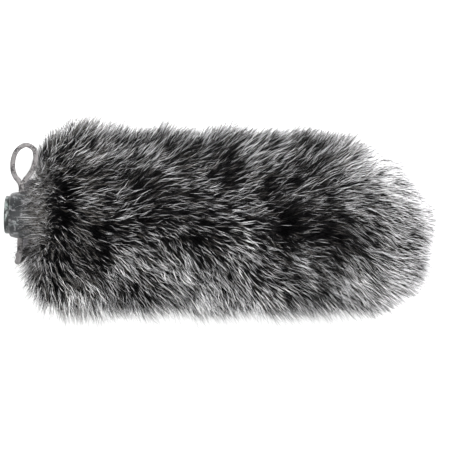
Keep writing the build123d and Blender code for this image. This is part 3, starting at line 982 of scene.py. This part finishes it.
def foam_material():
    """Open-cell foam: the cells' hollows painted near black as painted shade, in a charcoal ground."""
    material = plain_material("foam", (0.05, 0.05, 0.052), 0.9, Specular_IOR_Level=0.2)
    n = Nodes(material)
    fine, coarse = (
        n.add("ShaderNodeTexVoronoi", {"feature": "F1"}, Scale=scale, Vector=n.place()).outputs["Distance"]
        for scale in (900.0, 420.0)
    )
    both = n.math("ADD", n.math("MULTIPLY", fine, 0.6), n.math("MULTIPLY", coarse, 0.6))
    # Near black at the cells' middles: painted shade in the foam's hollows
    n.colour(n.mix(n.span(both, 0.15, 0.65), (0.012, 0.012, 0.013), (0.085, 0.085, 0.088)))
    n.bump(both, 0.7, 0.0006)
    return material


def marbled_material(name, light, dark, share):
    """Moulded plastic with a marbled grey, darker in veins and blotches."""
    material = plain_material(name, light, 0.45, Specular_IOR_Level=0.3)
    n = Nodes(material)
    place = n.place()
    warp = n.add("ShaderNodeTexNoise", Scale=260.0, Detail=3.0, Vector=place)
    moved = n.add("ShaderNodeMix", {"data_type": "VECTOR"})
    n.put(moved, "0", 0.004)
    n.put(moved, "4", place)
    n.put(moved, "5", warp.outputs["Color"])
    veins = n.noise(520.0, 4.0, 0.62, moved.outputs[1])
    blotch = n.noise(210.0, 2.0, 0.5, place)
    mask = n.span(n.math("ADD", veins, n.math("MULTIPLY", blotch, 0.45)), 0.64 - share, 0.78 - share)
    greener = tuple(c * k for c, k in zip(light, (0.86, 0.95, 0.92)))
    tint = n.mix(n.span(n.noise(220.0, 2.0, 0.5), 0.4, 0.6), light, greener)
    n.colour(n.mix(mask, dark, tint))
    n.bump(n.noise(1500.0, 2.0, 0.5), 0.08, 0.0002)
    return material


def metal_material(name, colour, roughness, scale, strength, distance):
    """Bare metal with a fine unevenness."""
    material = plain_material(name, colour, roughness, Metallic=1.0)
    n = Nodes(material)
    n.bump(n.noise(scale, 2.0, 0.5), strength, distance)
    return material


def make_body_panel(ground):
    """The body panel's tube, a little uneven."""

    def uneven(x, r, a):
        places = np.stack([x, r * np.cos(a), r * np.sin(a)], -1).reshape(-1, 3)
        return x, r + smooth_noise(places, 12 * MM, 31).reshape(x.shape) * 0.08 * MM

    inner = skin_radius - BACKING
    outline = [(x, inner) for x in (body_low.x, body_high.x)]
    outline += [(x, skin_radius) for x in (body_high.x, body_low.x)]
    tube = revolved(stretch(outline, 1.6 * MM), 160, uneven)
    piece = cover_piece("knit_body_panel", tube, ground, "body_backing")


def make_nose_panel(ground):
    """The nose panel, half an ellipsoid."""
    reach = nose_high.x - body_high.x
    outside = arc_points((body_high.x, 0), reach, skin_radius, 90, 0.6, 40)
    inside = arc_points((body_high.x, 0), reach - BACKING, skin_radius - BACKING, 0.6, 90, 40)
    cap = revolved(np.concatenate([outside, inside]), 128)
    piece = cover_piece("knit_nose_panel", cap, ground, "nose_backing")


def make_base_panel(ground):
    """The base panel, from the body panel round the shoulder to the collar's hole."""
    shoulder = (body_low.x, SHOULDER_RADIUS)
    reach_x, reach_r = body_low.x - base_low.x, skin_radius - SHOULDER_RADIUS
    outside = arc_points(shoulder, reach_x, reach_r, 90, 180, 24)
    inside = arc_points(shoulder, reach_x - BACKING, reach_r - BACKING, 180, 90, 24)
    rim = np.array([(base_low.x, COLLAR_HOLE), (base_low.x + BACKING, COLLAR_HOLE)])
    ring = revolved(np.concatenate([outside, rim, inside]), 128)
    piece = cover_piece("knit_base_panel", ring, ground, "base_backing")


def make_backings():
    """The fur fabric's knitted ground in its three panels."""
    ground = knit_material("knit_ground", (0.045, 0.044, 0.047), 60.0, 1.5 * MM)
    make_body_panel(ground)
    make_nose_panel(ground)
    make_base_panel(ground)


def soft_copy(name, node, voxel, material, change):
    """A finer, softened copy of a CAD node's mesh, moved by change, that stands for the node."""
    source = frame["nodes"][node]
    copy = bpy.data.objects.new(name, source.data.copy())
    copy.matrix_world = source.matrix_world
    scene.collection.objects.link(copy)
    remesh = copy.modifiers.new("remesh", "REMESH")
    remesh.mode = "VOXEL"
    remesh.voxel_size = voxel / max(source.matrix_world.to_scale())
    bpy.context.view_layer.update()
    fine = bpy.data.meshes.new_from_object(copy.evaluated_get(bpy.context.evaluated_depsgraph_get()))
    fine.name = name
    fine.transform(source.matrix_world)
    bpy.data.objects.remove(copy)
    points = np.empty(len(fine.vertices) * 3, np.float32)
    fine.vertices.foreach_get("co", points)
    points = change(points.reshape(-1, 3).astype(float))
    fine.vertices.foreach_set("co", points.astype(np.float32).reshape(-1))
    fine.materials.clear()
    fine.update()
    piece = new_object(name, fine, "cover", material)
    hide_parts(node)
    return piece


FOLDS = 27  # the gathered tape's folds round the collar
FINE_FOLDS = 44
hem_x = casing_high.x - STITCH_INSET


def casing_angle(points):
    """Each point's angle round the axis, in radians from +Z towards -Y."""
    return np.arctan2(-points[:, 1], points[:, 2])


def gathers(points):
    """How far the gathered tape stands out from the casing's smooth form, in metres, at points round it."""
    x, angle = points[:, 0], casing_angle(points)
    across = (x - casing_low.x) / (casing_high.x - casing_low.x)
    slow = smooth_noise(points, 9 * MM, 41)
    fold = np.sin(FOLDS * angle + 1.6 * slow) * 0.55
    fold = fold + np.sin(FINE_FOLDS * angle - 2.1 * slow + 3 * across) * 0.3
    hem = hump(x - hem_x, 1.2 * MM)
    return (0.52 * fold * (1 - 0.5 * hem) - 0.30 * hem + 0.20 * slow) * MM


def ruffle(points):
    """The casing's points moved into gathers, with pleats along its free edge."""
    radius = np.hypot(points[:, 1], points[:, 2])
    middle = (casing_high.z + CASING_INNER) / 2
    outer = np.clip((radius - middle) / (2.2 * MM), -0.6, 1)
    scale = (radius + gathers(points) * outer) / radius
    free_edge = rise(-points[:, 0], -(casing_low.x + 2.0 * MM), 2.0 * MM)
    pleat = 0.30 * np.sin(FOLDS * casing_angle(points) + 1.6 * smooth_noise(points, 9 * MM, 41))
    pleat = pleat + 0.35 * smooth_noise(points, 5 * MM, 43)
    return np.stack([points[:, 0] + free_edge * pleat * MM, points[:, 1] * scale, points[:, 2] * scale], 1)


def make_hem_stitches(thread):
    """One line of stitches round the casing's sewn end, each sunk into the tape at its ends."""
    points_each = 7
    along = np.linspace(-0.062, 0.062, points_each)
    turn = np.arange(STITCH_COUNT)[:, None] * (2 * math.pi / STITCH_COUNT) + along[None]
    bulge = np.sin(np.linspace(0, math.pi, points_each)) ** 0.6
    x = np.full(turn.shape, hem_x)
    tape = gathers(round_axis(x, casing_high.z, turn).reshape(-1, 3)).reshape(turn.shape)
    stand = tape + (0.42 * bulge[None] - 0.22) * MM
    stitches = tubes(round_axis(x, casing_high.z + stand, turn), 0.24 * MM, 8)
    cover_piece("hem_stitches", stitches, thread, "casing_stitching")


def slot_edge(way, half_straight, half_width):
    """The place and the outward direction at a way round a slot with round ends."""
    straight, bend = 2 * half_straight, math.pi * half_width
    if way < straight:
        return (half_width, way - half_straight), (1.0, 0.0)
    if way < straight + bend:
        a = (way - straight) / half_width
        out = (math.cos(a), math.sin(a))
        return (half_width * out[0], half_straight + half_width * out[1]), out
    if way < 2 * straight + bend:
        return (-half_width, half_straight - (way - straight - bend)), (-1.0, 0.0)
    a = (way - 2 * straight - bend) / half_width
    out = (-math.cos(a), -math.sin(a))
    return (half_width * out[0], -half_straight + half_width * out[1]), out


def make_buttonhole_thread(thread):
    """One stitch beside another round the slot that the cord leaves the casing by."""
    half_straight, half_width, edge = 1.8 * MM, 1.9 * MM, 0.95 * MM
    count = 34
    lines = []
    for way in np.arange(count) / count * (4 * half_straight + 2 * math.pi * half_width):
        spot, out = slot_edge(way, half_straight, half_width)
        t = np.linspace(-0.15, 1, 8)
        lift = np.sin(np.clip((t + 0.15) / 1.15, 0, 1) * math.pi) ** 0.5
        x = RING_X * MM + spot[0] + out[0] * edge * t
        turn = math.radians(BUTTONHOLE_ANGLE) + (spot[1] + out[1] * edge * t) / casing_high.z
        lines.append(round_axis(x, casing_high.z + (0.55 * lift - 0.25) * MM, turn))
    stitches = tubes(np.array(lines), 0.26 * MM, 8)
    cover_piece("buttonhole_thread", stitches, thread, "buttonhole_stitching")


def make_collar():
    """The drawstring casing as gathered tape, its hem stitches and the buttonhole's edge."""
    tape = knit_material("collar_tape", (0.115, 0.110, 0.122), 48.0, 1.0 * MM)
    thread = cloth_material("thread", (0.20, 0.195, 0.21), 0.7, 2200.0, 0.3)
    piece = soft_copy("gathered_casing", "collar_casing", 0.36 * MM, tape, ruffle)
    make_hem_stitches(thread)
    make_buttonhole_thread(thread)


def make_foam():
    """The foam core with its bore, its faces a little uneven."""
    radius = foam_high.z
    tip = arc_points((FOAM_STRAIGHT_END, 0), foam_high.x - FOAM_STRAIGHT_END, radius, 90, 0.8, 44)
    corners = [(0, bore_radius), (0, radius - FOAM_EDGE), (FOAM_EDGE, radius), (FOAM_STRAIGHT_END, radius)]
    outside = stretch(corners, 1.3 * MM)
    last = np.flatnonzero(np.all(np.isclose(outside, corners[-1]), axis=1))[0]
    end = [(bore_depth, 0.3 * MM), (bore_depth, bore_radius)]
    inside = stretch([*end, (0, bore_radius)], 1.3 * MM)
    stop = np.flatnonzero(np.all(np.isclose(inside, (0, bore_radius)), axis=1))[0]
    profile = np.concatenate([outside[:last], tip, inside[:stop]])

    def pitted(x, r, a):
        spots = np.stack([x, r * np.cos(a), r * np.sin(a)], -1).reshape(-1, 3)
        pits = smooth_noise(spots, 3.2 * MM, 51, 12).reshape(x.shape) * 0.10 * MM
        in_bore = (r < bore_radius + 0.2 * MM) & (x < bore_depth + 0.2 * MM)
        return x + np.where(x < 0.1 * MM, np.abs(pits), 0.0), r + np.where(in_bore, 0.5 * np.abs(pits), pits)

    piece = cover_piece("foam_body", revolved(profile, 150, pitted), foam_material(), "foam_core")


def make_seams():
    """The seam allowances, softened and a little uneven."""
    cloth = cloth_material("seam_cloth", (0.05, 0.049, 0.052), 0.9, 900.0, 0.5)

    def uneven(points):
        radius = np.hypot(points[:, 1], points[:, 2])
        scale = (radius + 0.07 * MM * smooth_noise(points, 5 * MM, 61)) / radius
        x = points[:, 0] + 0.2 * MM * smooth_noise(points, 8 * MM, 62)
        return np.stack([x, points[:, 1] * scale, points[:, 2] * scale], 1)

    for node in ("long_seam", "nose_seam", "base_seam"):
        soft_copy(f"{node}_allowance", node, 0.4 * MM, cloth, uneven)


def make_spring():
    """The lock's spring as a round wire with closed, flat ends."""
    low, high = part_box("lock_spring")
    radius = (high.z - low.z) / 2 - WIRE_RADIUS
    turns = 5.0
    closed = 0.11  # the share of the wire in each closed end
    t = np.linspace(0, 1, 330)
    height = np.interp(t, [0, closed, 1 - closed, 1], [0, 0.10, 0.90, 1.0])
    x = low.x + WIRE_RADIUS + (high.x - low.x - 2 * WIRE_RADIUS) * height
    turn = 2 * math.pi * turns * t
    line = np.stack([x, lock_y + radius * np.cos(turn), lock_z + radius * np.sin(turn)], -1)
    steel = metal_material("spring_steel", (0.55, 0.55, 0.56), 0.28, 2500.0, 0.05, 0.0001)
    coil = mesh_of("coil_spring", *tubes(line[None], WIRE_RADIUS, 12))
    piece = new_object("coil_spring", coil, "lock", steel)
    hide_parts("lock_spring")
    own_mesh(piece)


def finish_cad_nodes():
    """Materials for the nodes that keep their CAD meshes."""
    looks = {
        "lock_body": marbled_material("lock_marble", (0.105, 0.103, 0.108), (0.008, 0.009, 0.010), -0.075),
        "lock_plunger": marbled_material("button_marble", (0.12, 0.13, 0.128), (0.009, 0.011, 0.011), -0.06),
        "cord_ferrule": metal_material("ferrule_nickel", (0.5, 0.49, 0.47), 0.3, 1800.0, 0.12, 0.0002),
    }
    for node, material in looks.items():
        data = frame["nodes"][node].data
        data.materials.clear()
        data.materials.append(material)


make_camera()
make_cord()
make_studio()
make_foam()
make_backings()
make_seams()
make_collar()
make_spring()
finish_cad_nodes()
make_fur()
